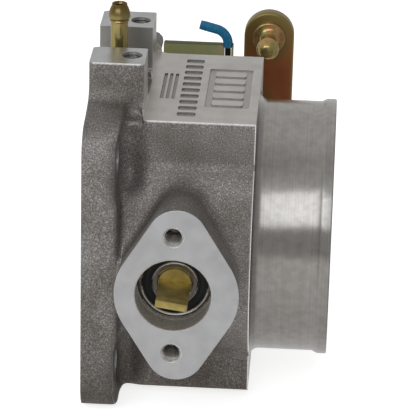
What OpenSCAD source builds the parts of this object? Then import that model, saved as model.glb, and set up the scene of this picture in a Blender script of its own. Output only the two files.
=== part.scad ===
// Cable-operated throttle body with one bore.
// Frame: origin at the centre of the manifold face, +X towards the air inlet,
// +Y along the shaft towards the lever, +Z up.

/* [Bore and neck] */
// Diameter of the air bore
bore_d = 70; // [66:0.5:72]
// Length from the manifold face to the end of the neck
total_len = 72.4; // [68:0.1:80]
// Outside diameter of the hose neck
neck_d = 76.2; // [75:0.1:80]
// Outside diameter of the bead at the end of the neck
bead_d = 77.8; // [77:0.1:82]
// Width of the bead
bead_w = 2.8; // [2:0.1:4]

/* [Manifold flange] */
// Side of the square flange
flange_w = 90; // [88:1:96]
// Thickness of the flange
flange_t = 10.8; // [9:0.1:13]
// Radius of the flange corners
flange_corner_r = 9; // [6:0.5:12]
// Distance between bolt holes along Y
bolt_dy = 70; // [68:0.5:74]
// Distance between bolt holes along Z
bolt_dz = 66; // [64:0.5:70]
// Diameter of the bolt holes
bolt_hole_d = 8.6; // [8.2:0.1:9]
// Diameter of the machined bolt seats
bolt_seat_d = 12.6; // [12:0.1:14]

/* [Body] */
// Distance from the manifold face to the shoulder at the neck
body_len = 49.2; // [48:0.1:52]
// Diameter of the cast barrel
barrel_d = 84; // [82:1:88]
// Width of the block and of the top pad
block_w = 59; // [50:1:64]
// Height of the machined top pad above the bore axis
pad_z = 43.3; // [42.5:0.1:46]
// Start of the top pad, from the manifold face
pad_x = 16.5; // [16.4:0.1:20]
// Depth of the block below the bore axis
block_depth = 43.1; // [42:0.1:44]

/* [Bracket posts] */
// Height of the post tops above the bore axis
post_z = 58.4; // [54:0.1:62]
// Length of each post along X
post_len = 16.1; // [14:0.1:16.2]
// Distance from the bore axis to the inner side of a post
post_y0 = 9.7; // [9:0.1:11]
// Distance from the bore axis to the outer side of a post
post_y1 = 23.8; // [22:0.1:26]
// Place of the tapped holes along X
post_hole_x = 11.9; // [7:0.1:12]
// Distance between the two tapped holes
post_hole_dy = 31.8; // [30:0.1:34]
// Tapping diameter of the M6 holes
tap_d = 5; // [4.8:0.1:5.2]

/* [Shaft and bearings] */
// Place of the shaft axis along X
shaft_x = 27.7; // [26:0.1:29]
// Diameter of the shaft
shaft_d = 9.98; // [9.9:0.01:9.99]
// Thickness of the blade
blade_t = 2.4; // [2:0.1:2.8]
// Diameter of the blade
blade_d = 69.8; // [65.8:0.1:69.8]
// Opening angle from closed to wide open
open_angle = 85; // [80:1:86]
// Bore of the bearings
bearing_bore = 10; // [10:10]
// Outside diameter of the bearings
bearing_d = 22; // [22:22]
// Width of the bearings
bearing_w = 6; // [6:6]
// Inner face of each bearing, from the bore axis
bearing_y = 41.4; // [41:0.1:42]

/* [Sensor boss] */
// Distance from the bore axis to the sensor face
sensor_y = 56; // [54:0.1:58]
// Centre of the diamond outline along X
sensor_x = 28.7; // [28:0.1:29.4]
// Radius of the middle of the diamond
sensor_r = 18; // [17:0.1:19]
// Radius of the ends of the diamond
sensor_end_r = 8.6; // [8:0.1:9.5]
// Distance between the sensor screw holes
sensor_hole_dz = 36.4; // [36:0.1:38]
// Length of the flat drive tang beyond the sensor face
tang_out = 7; // [4:0.1:9]

/* [Linkage] */
// Outer face of the linkage boss, from the bore axis
boss_y = 47.4; // [47.4:0.1:48]
// Near face of the return plate
plate_y = 58.8; // [58.6:0.1:59]
// Thickness of the return plate
plate_t = 2.4; // [2:0.1:2.4]
// Near face of the throttle lever
lever_y = 61.3; // [61.3:0.1:62]
// Thickness of the throttle lever
lever_t = 4.8; // [3:0.1:5]
// Width of the lever arm
arm_w = 16; // [14:0.5:18]
// Place of the ball stud along X
stud_x = 49.8; // [49:0.1:52]
// Height of the ball stud above the shaft
stud_z = 39; // [36:0.1:40]
// Diameter of the ball
ball_d = 7.2; // [7:0.1:8]

/* [Return spring] */
// Diameter of the spring wire
wire_d = 2; // [1.6:0.1:2]
// Mean radius of the coil
coil_r = 8.8; // [8.6:0.1:8.8]
// Full turns in the coil, before the last half turn
coil_turns = 3; // [2:1:3]
// Outside diameter of the plastic sleeve
sleeve_d = 2.8; // [2.6:0.1:2.8]

/* [Hidden] */
$fn = 96;
HOLE = 1;
FIT = 0.05;

bearing_mid = bearing_y + bearing_w / 2;
race_r = 8;
ball_r = 1.9;
ball_count = 9;
inner_ring_r = 6.5;
outer_ring_r = 9.5;
seal_t = 0.5;
chamfer = 0.6;

flange_h = flange_w / 2;
corner_c = flange_h - flange_corner_r;
post_mid = (post_y0 + post_y1) / 2;
post_w = post_y1 - post_y0;
post_corner = 2.5;
seat_depth = 0.6;
seat_reach = 7.5;

barb_x = 7;
barb_y = -3.2;
barb_floor = 45;
barb_top = 70;

tang_w = 9.5;
tang_t = 2.2;
tang_roll = 8;
shaft_near = bearing_y + bearing_w + 0.6;
shaft_far = 76.5;
thread_r = 4;
flats = 7.6;
flats_y = 58.6;
screw_dy = 28;
blade_slot_y = bore_d / 2 + 0.3;

lug_x = 12;
lug_w = 8;
lug_z = -19;
lug_h = 12;
stop_y = plate_y + plate_t / 2;
stop_tip_x = 20.8;
stop_r = 2.5;

bar_x0 = 16;
bar_x1 = 38.5;
bar_z0 = 21;
bar_z1 = 36.5;
notch_x0 = 35.4;
notch_x1 = 37.85;
notch_z0 = 24.2;
notch_z1 = 35.2;

ear_x = 17.25;
ear_r = 3.2;
ear_z = 43;
ear_y1 = 42;
anchor_z = 10;
coil_y0 = 49.2;
coil_pitch = 2.17;
coil_end_a = 360 * (coil_turns + 1);
coil_y1 = coil_y0 + coil_pitch * (coil_turns + 0.5);

// Places a shape drawn round +Z so that its axis runs along the shaft, at height y.
module on_shaft(y) {
    translate([shaft_x, y, 0]) rotate([-90, 0, 0]) children();
}

// Extrudes an outline drawn in X and Z from y to y + t.
module plate(y, t) {
    translate([0, y + t, 0]) rotate([90, 0, 0]) linear_extrude(t) children();
}

// Extrudes an outline drawn in Y and Z from x to x + t.
module slab(x, t) {
    translate([x, 0, 0]) rotate([90, 0, 90]) linear_extrude(t) children();
}

module cyl_x(x0, x1, r) {
    translate([x0, 0, 0]) rotate([0, 90, 0]) cylinder(h = x1 - x0, r = r);
}

// A hexagon by its distance across flats.
module hexagon(across) {
    circle(d = across / cos(30), $fn = 6);
}

// ---------------------------------------------------------------- casting

module flange_outline() {
    square([flange_w - 2 * flange_corner_r, flange_w], center = true);
    square([flange_w, flange_w - 2 * flange_corner_r], center = true);
    for (sy = [-1, 1], sz = [-1, 1])
        translate([sy * corner_c, sz * corner_c]) circle(flange_corner_r);
    for (m = [0, 1]) mirror([m, 0])
        polygon([[post_y1 - 1, flange_h - 2], [corner_c, flange_h - 2], [corner_c, flange_h],
            [post_y1 + 6, flange_h + 1.4], [post_y1 - 1, flange_h + 3.6]]);
}

module post_outline() {
    translate([post_corner, -post_w / 2]) square([post_len - post_corner, post_w]);
    translate([0, -post_w / 2 + post_corner]) square([post_len, post_w - 2 * post_corner]);
    for (s = [-1, 1])
        translate([post_corner, s * (post_w / 2 - post_corner)]) circle(post_corner);
}

module sensor_outline(grow) {
    hull() {
        translate([sensor_x, 0]) circle(sensor_r + grow, $fn = 64);
        for (s = [-1, 1])
            translate([sensor_x, s * 18]) circle(sensor_end_r + grow, $fn = 48);
    }
}

// The boss keeps its outline for a few millimetres, then flares into the barrel.
module sensor_boss() {
    plate(-sensor_y, 6) sensor_outline(0);
    hull() {
        plate(-sensor_y + 5.5, 1) sensor_outline(0);
        plate(-30, 1) sensor_outline(3.5);
    }
}

// Cast ear on the back of the flange, just above its far upper bolt.
module corner_ear() {
    translate([ear_x - 3 * ear_r, 28, ear_z - 3.2]) cube([3 * ear_r, ear_y1 - 28, 3.2]);
    translate([ear_x - ear_r, ear_y1, ear_z]) rotate([90, 0, 0])
        cylinder(h = ear_y1 - 28, r = ear_r - 0.01);
}

module idle_lug() {
    translate([lug_x, 26, lug_z - lug_h / 2]) cube([lug_w, 39, lug_h]);
}

module body_solid() {
    slab(0, flange_t) flange_outline();
    for (s = [-1, 1])
        translate([0, s * post_mid, 34]) linear_extrude(post_z - 34) post_outline();
    cyl_x(5, body_len, barrel_d / 2);
    translate([5, -block_w / 2, -block_depth])
        cube([body_len - 5, block_w, block_depth + pad_z - 1.2]);
    translate([pad_x, -block_w / 2, pad_z - 3]) cube([body_len - pad_x, block_w, 3]);
    cyl_x(body_len - 1, total_len, neck_d / 2);
    cyl_x(total_len - bead_w, total_len, bead_d / 2);
    sensor_boss();
    on_shaft(28) cylinder(h = boss_y - 28, r = 15.5);
    corner_ear();
    idle_lug();
}

// Tapped hole, drilled down from the origin.
module tapped_hole(depth) {
    translate([0, 0, -depth]) cylinder(h = depth + HOLE, d = tap_d);
}

// Bearing recess, drilled from the face at distance y along the shaft.
module bearing_recess(side, face) {
    mirror([0, side < 0 ? 1 : 0, 0]) {
        on_shaft(bearing_y) cylinder(h = face - bearing_y + HOLE, d = bearing_d);
        on_shaft(bearing_y - 0.5) cylinder(h = 1, r = 10);
        on_shaft(face - chamfer)
            cylinder(h = 2 * chamfer, r1 = bearing_d / 2, r2 = bearing_d / 2 + 2 * chamfer);
    }
}

module bolt_cuts() {
    for (sy = [-1, 1], sz = [-1, 1]) translate([0, sy * bolt_dy / 2, sz * bolt_dz / 2]) {
        cyl_x(-HOLE, flange_t + HOLE, bolt_hole_d / 2);
        cyl_x(flange_t - seat_depth, flange_t + seat_reach, bolt_seat_d / 2);
    }
}

// Plain pattern on the top pad: a sunk panel with raised bars, a column of slots and three lines.
module pad_relief() {
    depth = 0.5;
    translate([0, 0, pad_z - depth]) {
        difference() {
            translate([33.4, -16.5, 0]) cube([13.2, 33.5, 2]);
            for (i = [0:4]) translate([35.4, -14.2 + i * 6.2, -1]) cube([9.2, 4, 4]);
        }
        for (i = [0:9]) translate([25.8, -24.6 + i * 5.1, 0]) cube([5.4, 3.3, 2]);
        for (i = [0:2]) translate([19.8 + i * 1.7, -10.5, 0]) cube([1, 22, 2]);
    }
}

module body_casting() {
    color("silver") difference() {
        body_solid();
        cyl_x(-HOLE, total_len + HOLE, bore_d / 2);
        on_shaft(-bearing_y) cylinder(h = 2 * bearing_y, r = shaft_d / 2 + 0.3);
        bearing_recess(-1, sensor_y);
        bearing_recess(1, boss_y);
        bolt_cuts();
        for (s = [-1, 1]) {
            translate([post_hole_x, s * post_hole_dy / 2, post_z]) tapped_hole(14);
            translate([shaft_x - 0.2, -sensor_y, s * sensor_hole_dz / 2])
                rotate([90, 0, 0]) tapped_hole(12);
        }
        translate([barb_x, barb_y, 36]) cylinder(h = 12, r = 2.4);
        translate([barb_x, barb_y, 33]) cylinder(h = 5, r = 1.5);
        translate([0, stop_y, lug_z]) cyl_x(lug_x - HOLE, lug_x + lug_w + HOLE, stop_r);
        translate([shaft_x - coil_r, boss_y - 5, anchor_z]) rotate([-90, 0, 0])
            cylinder(h = 5 + HOLE, r = wire_d / 2 + 0.1);
        pad_relief();
    }
}

module vacuum_barb() {
    neck_r = 2.55;
    head_r = 3.25;
    head_z = barb_top - 5.2;
    color("darkkhaki") translate([barb_x, barb_y, 0]) difference() {
        rotate_extrude() polygon([[0, 36.4], [2.39, 36.4], [2.39, barb_floor], [neck_r, barb_floor],
            [neck_r, head_z - 1.6], [neck_r + 0.35, head_z - 1.4], [neck_r + 0.35, head_z - 0.6],
            [neck_r, head_z - 0.4], [neck_r, head_z], [head_r, head_z + 0.4],
            [head_r, head_z + 1.4], [2.5, barb_top - 0.4], [2.1, barb_top], [0, barb_top]]);
        translate([0, 0, 36]) cylinder(h = barb_top, r = 1.5);
        translate([0, 0, barb_top - 0.6]) cylinder(h = 1.2, r1 = 1.5, r2 = 2.1);
    }
}

// ---------------------------------------------------------------- bearings

module ring(r0, r1, h) {
    difference() {
        cylinder(h = h, r = r1, center = true);
        cylinder(h = h + HOLE, r = r0, center = true);
    }
}

module race() {
    rotate_extrude() translate([race_r, 0]) circle(ball_r + FIT, $fn = 48);
}

module bearing_outer(y) {
    color("gainsboro") on_shaft(y) difference() {
        ring(outer_ring_r, bearing_d / 2 - 0.01, bearing_w);
        race();
    }
}

module bearing_inner(y) {
    color("gainsboro") on_shaft(y) difference() {
        ring(bearing_bore / 2, inner_ring_r, bearing_w);
        race();
    }
}

module bearing_seals(y) {
    color("dimgray") on_shaft(y) for (s = [-1, 1])
        translate([0, 0, s * (bearing_w / 2 - seal_t)])
            ring(inner_ring_r + 0.1, outer_ring_r - 0.02, seal_t);
}

module ball_places() {
    for (i = [0:ball_count - 1]) rotate(i * 360 / ball_count) translate([race_r, 0, 0]) children();
}

module bearing_balls(y) {
    color("white") on_shaft(y) ball_places() sphere(ball_r, $fn = 32);
}

module bearing_cage(y) {
    color("burlywood") on_shaft(y) difference() {
        ring(race_r - 0.6, race_r + 0.6, 2 * ball_r + 0.6);
        ball_places() rotate([0, 90, 0]) cylinder(h = 4, r = ball_r + FIT, center = true);
    }
}

// ---------------------------------------------------------------- shaft and blade

// Round stretch of the shaft between two places along its axis.
module shaft_stretch(y0, y1, r) {
    on_shaft(y0) cylinder(h = y1 - y0, r = r);
}

module throttle_shaft() {
    tip = -sensor_y - tang_out;
    color("darkkhaki") difference() {
        union() {
            shaft_stretch(-shaft_near, flats_y, shaft_d / 2);
            intersection() {
                shaft_stretch(flats_y - 0.5, lever_y + lever_t, shaft_d / 2);
                translate([shaft_x - flats / 2, 0, -10]) cube([flats, 100, 20]);
            }
            shaft_stretch(lever_y, shaft_far, thread_r - 0.2);
            translate([shaft_x, tip, 0]) rotate([0, tang_roll, 0])
                translate([-tang_w / 2, 0, -tang_t / 2]) cube([tang_w, -shaft_near - tip + 1, tang_t]);
        }
        translate([shaft_x - blade_t / 2 - FIT, -blade_slot_y, -10])
            cube([blade_t + 2 * FIT, 2 * blade_slot_y, 20]);
        for (s = [-1, 1]) translate([0, s * screw_dy / 2, 0]) {
            cyl_x(shaft_x - 10, shaft_x + 10, 2.05);
            cyl_x(shaft_x + 3.2, shaft_x + 10, 3.9);
        }
    }
}

module throttle_blade() {
    color("goldenrod") difference() {
        cyl_x(shaft_x - blade_t / 2, shaft_x + blade_t / 2, blade_d / 2);
        for (s = [-1, 1]) translate([0, s * screw_dy / 2, 0])
            cyl_x(shaft_x - 5, shaft_x + 5, 2.05);
    }
}

module blade_screws() {
    color("silver") for (s = [-1, 1]) translate([0, s * screw_dy / 2, 0]) difference() {
        union() {
            cyl_x(shaft_x - 5.2, shaft_x + 3.5, 2);
            cyl_x(shaft_x + 3.25, shaft_x + 5.3, 3.7);
        }
        cyl_x(shaft_x + 4.1, shaft_x + 6, 1.5);
    }
}

// ---------------------------------------------------------------- linkage

module spring_bush() {
    color("ivory") difference() {
        union() {
            shaft_stretch(boss_y + 0.3, flats_y, 6.8);
            shaft_stretch(boss_y + 0.3, boss_y + 0.7, 9.2);
        }
        shaft_stretch(0, 80, shaft_d / 2 + FIT);
    }
}

// Hole that fits the two flats of the shaft.
module flats_hole() {
    intersection() {
        translate([shaft_x, 0]) circle(shaft_d / 2 + FIT);
        translate([shaft_x - flats / 2 - FIT, -10]) square([flats + 2 * FIT, 20]);
    }
}

// The ear that meets the stop lug when the blade is wide open, drawn in that place.
module wide_open_ear() {
    top_of_lug = lug_z + lug_h / 2;
    polygon([[lug_x - shaft_x, top_of_lug + 0.3], [lug_x + lug_w - shaft_x, top_of_lug + 0.3],
        [-1, -8], [-12, -2]]);
}

module return_plate_outline() {
    translate([shaft_x, 0]) circle(12);
    translate([bar_x0, bar_z0]) square([bar_x1 - bar_x0, bar_z1 - bar_z0]);
    polygon([[shaft_x + 9, 4], [bar_x1 - 5, bar_z0 + 1], [bar_x0 + 2, bar_z0 + 1], [shaft_x - 9, 4]]);
    translate([stop_tip_x + FIT, lug_z - 5]) square([10, 5 - lug_z]);
    translate([shaft_x, 0]) rotate(-open_angle) wide_open_ear();
}

module return_plate() {
    color("olive") plate(plate_y, plate_t) difference() {
        return_plate_outline();
        flats_hole();
        translate([notch_x0, notch_z0]) square([notch_x1 - notch_x0, 20]);
        translate([notch_x0 - 0.2, notch_z1]) square([notch_x1 - notch_x0 + 0.5, 20]);
    }
}

module lever_outline() {
    knee_z = 6;
    hull() {
        translate([shaft_x, 0]) circle(12, $fn = 64);
        translate([stud_x, knee_z]) circle(arm_w / 2, $fn = 48);
    }
    hull() for (z = [knee_z, stud_z])
        translate([stud_x, z]) circle(arm_w / 2, $fn = 64);
}

module throttle_lever() {
    color("saddlebrown") difference() {
        plate(lever_y, lever_t) lever_outline();
        plate(lever_y - HOLE, lever_t + 2 * HOLE) flats_hole();
        translate([stud_x, 0, stud_z]) rotate([-90, 0, 0]) cylinder(h = 100, r = 2.55);
    }
}

module cable_ball_stud() {
    centre_y = lever_y - 11.8;
    color("darkkhaki") translate([stud_x, 0, stud_z]) {
        difference() {
            translate([0, centre_y, 0]) sphere(d = ball_d);
            translate([-10, centre_y - 20 - ball_d / 2 + 0.4, -10]) cube(20);
        }
        translate([0, centre_y, 0]) rotate([-90, 0, 0]) cylinder(h = 10, r = 1.9);
        translate([0, lever_y - 2, 0]) rotate([-90, 0, 0]) cylinder(h = 2, r = 5.15);
        translate([0, lever_y - 1, 0]) rotate([-90, 0, 0]) cylinder(h = lever_t + 1.5, r = 2.5);
        translate([0, lever_y + lever_t, 0]) rotate([-90, 0, 0]) cylinder(h = 1.2, r1 = 3.6, r2 = 2.8);
    }
}

module lock_washer() {
    color("silver") on_shaft(lever_y + lever_t + 1) difference() {
        ring(thread_r + 0.2, 7.2, 2);
        rotate(-60) translate([0, 0, -3]) rotate([0, 20, 0]) cube([10, 0.8, 8]);
    }
}

module lever_nut() {
    y = lever_y + lever_t + 2;
    color("darkkhaki") on_shaft(y) difference() {
        linear_extrude(6) hexagon(13);
        translate([0, 0, -HOLE]) cylinder(h = 10, r = thread_r - 0.15);
    }
}

// ---------------------------------------------------------------- return spring

function unit(v) = v / norm(v);

// One ring of a swept round bar: its centre, the direction it faces and its radius.
function ring_at(p, d, r, sides) = let (
        u = unit(cross(d, abs(d[1]) > 0.9 ? [1, 0, 0] : [0, 1, 0])),
        w = cross(d, u))
    [for (k = [0:sides - 1]) let (a = 360 * k / sides) p + r * (cos(a) * u + sin(a) * w)];

// Round bar along a list of points, as one closed solid.
module swept_bar(points, r, sides) {
    n = len(points);
    dirs = [for (i = [0:n - 1]) unit(points[min(i + 1, n - 1)] - points[max(i - 1, 0)])];
    verts = [for (i = [0:n - 1]) each ring_at(points[i], dirs[i], r, sides)];
    walls = [for (i = [0:n - 2], k = [0:sides - 1]) let (m = (k + 1) % sides)
        [i * sides + k, (i + 1) * sides + k, (i + 1) * sides + m, i * sides + m]];
    polyhedron(verts, [[for (k = [0:sides - 1]) k], each walls,
        [for (k = [sides - 1:-1:0]) (n - 1) * sides + k]]);
}

// The bent end: straight up through the notch, round a bend, then away from the lever.
leg_x = 36.7;
bend_z = 37.3;
bend_r = 4.2;
bend_a = 76;
tail_len = 6.1;
function bent_end(back) = let (
        cx = leg_x - bend_r,
        ex = cx + bend_r * cos(bend_a),
        ez = bend_z + bend_r * sin(bend_a))
    [for (a = [0:bend_a / 8:bend_a]) [cx + bend_r * cos(a), stop_y, bend_z + bend_r * sin(a)],
     for (t = [0.5, 1]) [ex - t * (tail_len - back) * sin(bend_a), stop_y,
         ez + t * (tail_len - back) * cos(bend_a)]];

function coil_points() = [for (a = [180:15:coil_end_a])
    [shaft_x + coil_r * cos(a), coil_y0 + coil_pitch * (a - 180) / 360, coil_r * sin(a)]];

module return_spring() {
    fixed_x = shaft_x - coil_r;
    fixed_leg = [[fixed_x, boss_y - 4, anchor_z], [fixed_x, coil_y0 - 1.2, anchor_z],
        [fixed_x, coil_y0 - 0.4, anchor_z - 0.4], [fixed_x, coil_y0, anchor_z - 1.2]];
    moving_leg = [[shaft_x + coil_r, coil_y1, 12], [shaft_x + coil_r, coil_y1, 23.5],
        [shaft_x + coil_r, stop_y - 0.5, 29], [leg_x, stop_y, 32]];
    color("dimgray")
        swept_bar([each fixed_leg, each coil_points(), each moving_leg, each bent_end(0.6)],
            wire_d / 2, 10);
}

module spring_sleeve() {
    foot = [leg_x, stop_y, bend_z - 1.9];
    color("steelblue") difference() {
        swept_bar([foot, each bent_end(0)], sleeve_d / 2, 16);
        swept_bar([foot - [0, 0, 1], each bent_end(-1)], wire_d / 2 + 0.08, 16);
    }
}

// ---------------------------------------------------------------- idle stop

module idle_stop_screw() {
    color("silver") translate([0, stop_y, lug_z]) difference() {
        union() {
            cyl_x(4, stop_tip_x, stop_r - FIT);
            cyl_x(1.5, 4.5, 3.6);
        }
        translate([1, -5, -0.6]) cube([1.7, 10, 1.2]);
    }
}

module idle_stop_locknut() {
    color("darkkhaki") translate([lug_x - 4, stop_y, lug_z]) rotate([0, 90, 0]) difference() {
        linear_extrude(3.9) hexagon(8);
        translate([0, 0, -HOLE]) cylinder(h = 8, r = stop_r + FIT);
    }
}

body_casting();
vacuum_barb();
bearing_outer(-bearing_mid);  // near_bearing_outer_ring
bearing_inner(-bearing_mid);  // near_bearing_inner_ring
bearing_seals(-bearing_mid);  // near_bearing_seals
bearing_balls(-bearing_mid);  // near_bearing_balls
bearing_cage(-bearing_mid);  // near_bearing_cage
bearing_outer(bearing_mid);  // far_bearing_outer_ring
bearing_inner(bearing_mid);  // far_bearing_inner_ring
bearing_seals(bearing_mid);  // far_bearing_seals
bearing_balls(bearing_mid);  // far_bearing_balls
bearing_cage(bearing_mid);  // far_bearing_cage
throttle_shaft();
throttle_blade();
blade_screws();
spring_bush();
return_plate();
throttle_lever();
cable_ball_stud();
lock_washer();
lever_nut();
return_spring();
spring_sleeve();
idle_stop_screw();
idle_stop_locknut();
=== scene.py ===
"""Throttle body: the detailed look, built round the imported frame.

Shapes are drawn in millimetres in the part's own frame, and scaled to metres when they become objects.
"""

import math

import bmesh
import bpy
import numpy as np
from mathutils import Matrix, Vector


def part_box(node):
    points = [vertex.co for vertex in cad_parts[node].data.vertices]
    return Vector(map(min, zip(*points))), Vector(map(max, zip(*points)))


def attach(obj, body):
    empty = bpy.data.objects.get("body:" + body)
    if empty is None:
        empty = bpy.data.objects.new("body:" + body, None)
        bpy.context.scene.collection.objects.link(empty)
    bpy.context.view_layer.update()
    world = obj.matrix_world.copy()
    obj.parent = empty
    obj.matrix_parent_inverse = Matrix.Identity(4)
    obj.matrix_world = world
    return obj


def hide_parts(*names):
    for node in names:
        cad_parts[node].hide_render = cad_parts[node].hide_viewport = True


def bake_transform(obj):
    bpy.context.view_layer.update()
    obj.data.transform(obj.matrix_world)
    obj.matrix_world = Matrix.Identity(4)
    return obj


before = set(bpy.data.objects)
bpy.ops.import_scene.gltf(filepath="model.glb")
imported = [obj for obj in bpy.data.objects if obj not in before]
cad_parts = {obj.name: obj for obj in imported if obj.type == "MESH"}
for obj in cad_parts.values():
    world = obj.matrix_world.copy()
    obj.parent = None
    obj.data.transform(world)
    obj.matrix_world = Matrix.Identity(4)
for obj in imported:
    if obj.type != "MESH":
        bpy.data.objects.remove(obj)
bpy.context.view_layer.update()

MM = 0.001
TAU = math.tau
HOUSING, SHAFT = "housing", "shaft"
ALONG_X, ALONG_Y, ALONG_Z = (1, 0, 0), (0, 1, 0), (0, 0, 1)


# ---------------------------------------------------------------- sizes, in millimetres


def box_mm(node):
    """Lowest and highest corner of a CAD node, in millimetres."""
    low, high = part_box(node)
    return np.array(low) / MM, np.array(high) / MM


CAST_LOW, CAST_HIGH = box_mm("body_casting")
SHAFT_LOW, SHAFT_HIGH = box_mm("throttle_shaft")
BLADE_LOW, BLADE_HIGH = box_mm("throttle_blade")
LEVER_LOW, LEVER_HIGH = box_mm("throttle_lever")
PLATE_LOW, PLATE_HIGH = box_mm("return_plate")
BARB_LOW, BARB_HIGH = box_mm("vacuum_barb")
NEAR_LOW, NEAR_HIGH = box_mm("near_bearing_outer_ring")
FAR_LOW, FAR_HIGH = box_mm("far_bearing_outer_ring")
BUSH_LOW, BUSH_HIGH = box_mm("spring_bush")
STUD_LOW, STUD_HIGH = box_mm("cable_ball_stud")
NUT_LOW, NUT_HIGH = box_mm("lever_nut")
WASHER_LOW, WASHER_HIGH = box_mm("lock_washer")
STOP_LOW, STOP_HIGH = box_mm("idle_stop_screw")
LOCK_LOW, LOCK_HIGH = box_mm("idle_stop_locknut")
SPRING_LOW = box_mm("return_spring")[0]
SCREWS_LOW, SCREWS_HIGH = box_mm("blade_screws")

BODY_LENGTH = CAST_HIGH[0]
POST_TOP = CAST_HIGH[2]
SENSOR_FACE = CAST_LOW[1]
SHAFT_X = (BLADE_LOW[0] + BLADE_HIGH[0]) / 2
BLADE_R = (BLADE_HIGH[1] - BLADE_LOW[1]) / 2
BORE_R = BLADE_R + 0.1
BEARING_R = (NEAR_HIGH[0] - NEAR_LOW[0]) / 2 + 0.01
BEARING_WIDTH = NEAR_HIGH[1] - NEAR_LOW[1]
STUD_X = (STUD_LOW[0] + STUD_HIGH[0]) / 2
STUD_Z = (STUD_LOW[2] + STUD_HIGH[2]) / 2
BARB_AT = ((BARB_LOW[0] + BARB_HIGH[0]) / 2, (BARB_LOW[1] + BARB_HIGH[1]) / 2, 0)
STOP_Y = (PLATE_LOW[1] + PLATE_HIGH[1]) / 2
STOP_Z = (STOP_LOW[2] + STOP_HIGH[2]) / 2

FLANGE_HALF = 45
FLANGE_THICK = 10.8
BARREL_R = 42
SHOULDER_X = 49.2
NECK_R = 38.1
BEAD_R = 38.9
BEAD_WIDTH = 2.9
BLOCK_HALF = 29.5
BLOCK_FLOOR = -43.1
PAD_Z = 43.3
POST_INNER, POST_OUTER, POST_END = 9.7, 23.8, 16.1
POST_HOLE_X, POST_HOLE_Y = 11.9, 15.9
SLOT_FLOOR = 45
SENSOR_X, SENSOR_R, SENSOR_END_R, SENSOR_REACH = 28.7, 18, 8.6, 18
SENSOR_HOLE_X, SENSOR_HOLE_Z = 27.5, 18.2
BOLT_Y, BOLT_Z = 35, 33
BOSS_FACE = FAR_HIGH[1]
LUG_X0, LUG_X1 = 12, 20
SHAFT_R = 4.99
SHAFT_HOLE_R = 5.04
FLATS_HALF = 3.85
SCREW_Y = (-14, 14)
SCREW_HOLE_R = 2.05
RECESS_DEEP = 8.6
LEG_X = 36.7


# ---------------------------------------------------------------- materials

# Sockets of a Mix node that mixes colours: how much of the second, the two colours, and the result.
SHARE, FIRST, SECOND, MIXED = 0, 6, 7, 2
MIX = {"data_type": "RGBA"}
TINT = {"data_type": "RGBA", "blend_type": "MULTIPLY"}


def linear(hex_colour):
    """Linear RGBA of an sRGB hex colour such as "a8a29a"."""
    parts = [int(hex_colour[i : i + 2], 16) / 255 for i in (0, 2, 4)]
    return [c / 12.92 if c <= 0.04045 else ((c + 0.055) / 1.055) ** 2.4 for c in parts] + [1.0]


def grey(level):
    """Opaque linear grey."""
    return (level, level, level, 1)


def feed(tree, node, inputs):
    """Gives each named input its value, or a link from the node or output that stands for it."""
    for name, value in dict(inputs).items():
        if isinstance(value, bpy.types.Node):
            value = value.outputs[0]
        if isinstance(value, bpy.types.NodeSocket):
            tree.links.new(value, node.inputs[name])
        else:
            node.inputs[name].default_value = value


def add_node(tree, kind, inputs=(), stops=(), **settings):
    """A new node with its settings, inputs and, on a colour ramp, its (place, colour) stops."""
    node = tree.nodes.new("ShaderNode" + kind)
    for name, value in settings.items():
        setattr(node, name, value)
    feed(tree, node, inputs)
    for number, (where, colour) in enumerate(stops):
        band = node.color_ramp.elements
        stop = band[number] if number < 2 else band.new(where)
        stop.position = where
        stop.color = linear(colour) if isinstance(colour, str) else colour
    return node


def new_material(name):
    """An empty material with its tree, its shader and its object coordinates."""
    made = bpy.data.materials.new(name)
    made.use_nodes = True
    tree = made.node_tree
    tree.nodes.clear()
    shader = add_node(tree, "BsdfPrincipled")
    add_node(tree, "OutputMaterial", {"Surface": shader})
    place = add_node(tree, "TexCoord").outputs["Object"]
    return made, tree, shader, place


def speckle(tree, place, size_mm, detail=2.0, stretch=(1, 1, 1)):
    """Random pattern with features of a real size, drawn out along an axis whose stretch is below 1."""
    per_metre = 1 / (size_mm * MM)
    moved = add_node(tree, "Mapping", {"Vector": place, "Scale": [s * per_metre for s in stretch]})
    return add_node(tree, "TexNoise", {"Vector": moved, "Scale": 1.0, "Detail": detail})


def rising(tree, place, low_mm, high_mm):
    """0 below the low height, 1 above the high one."""
    height = add_node(tree, "SeparateXYZ", {"Vector": place}).outputs["Z"]
    return add_node(tree, "MapRange", {"Value": height, "From Min": low_mm * MM, "From Max": high_mm * MM})


def edge_mask(tree, radius_mm):
    """1 on edges and 0 on flats, from how far a rounded normal leaves the true one; and that normal."""
    rounded_normal = add_node(tree, "Bevel", {"Radius": radius_mm * MM}, samples=3).outputs[0]
    true_normal = add_node(tree, "NewGeometry").outputs["Normal"]
    dot = add_node(tree, "VectorMath", {0: rounded_normal, 1: true_normal}, operation="DOT_PRODUCT")
    limits = {"From Min": 0.985, "From Max": 0.90, "To Min": 0.0, "To Max": 1.0}
    return add_node(tree, "MapRange", {"Value": dot.outputs["Value"], **limits}), rounded_normal


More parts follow.
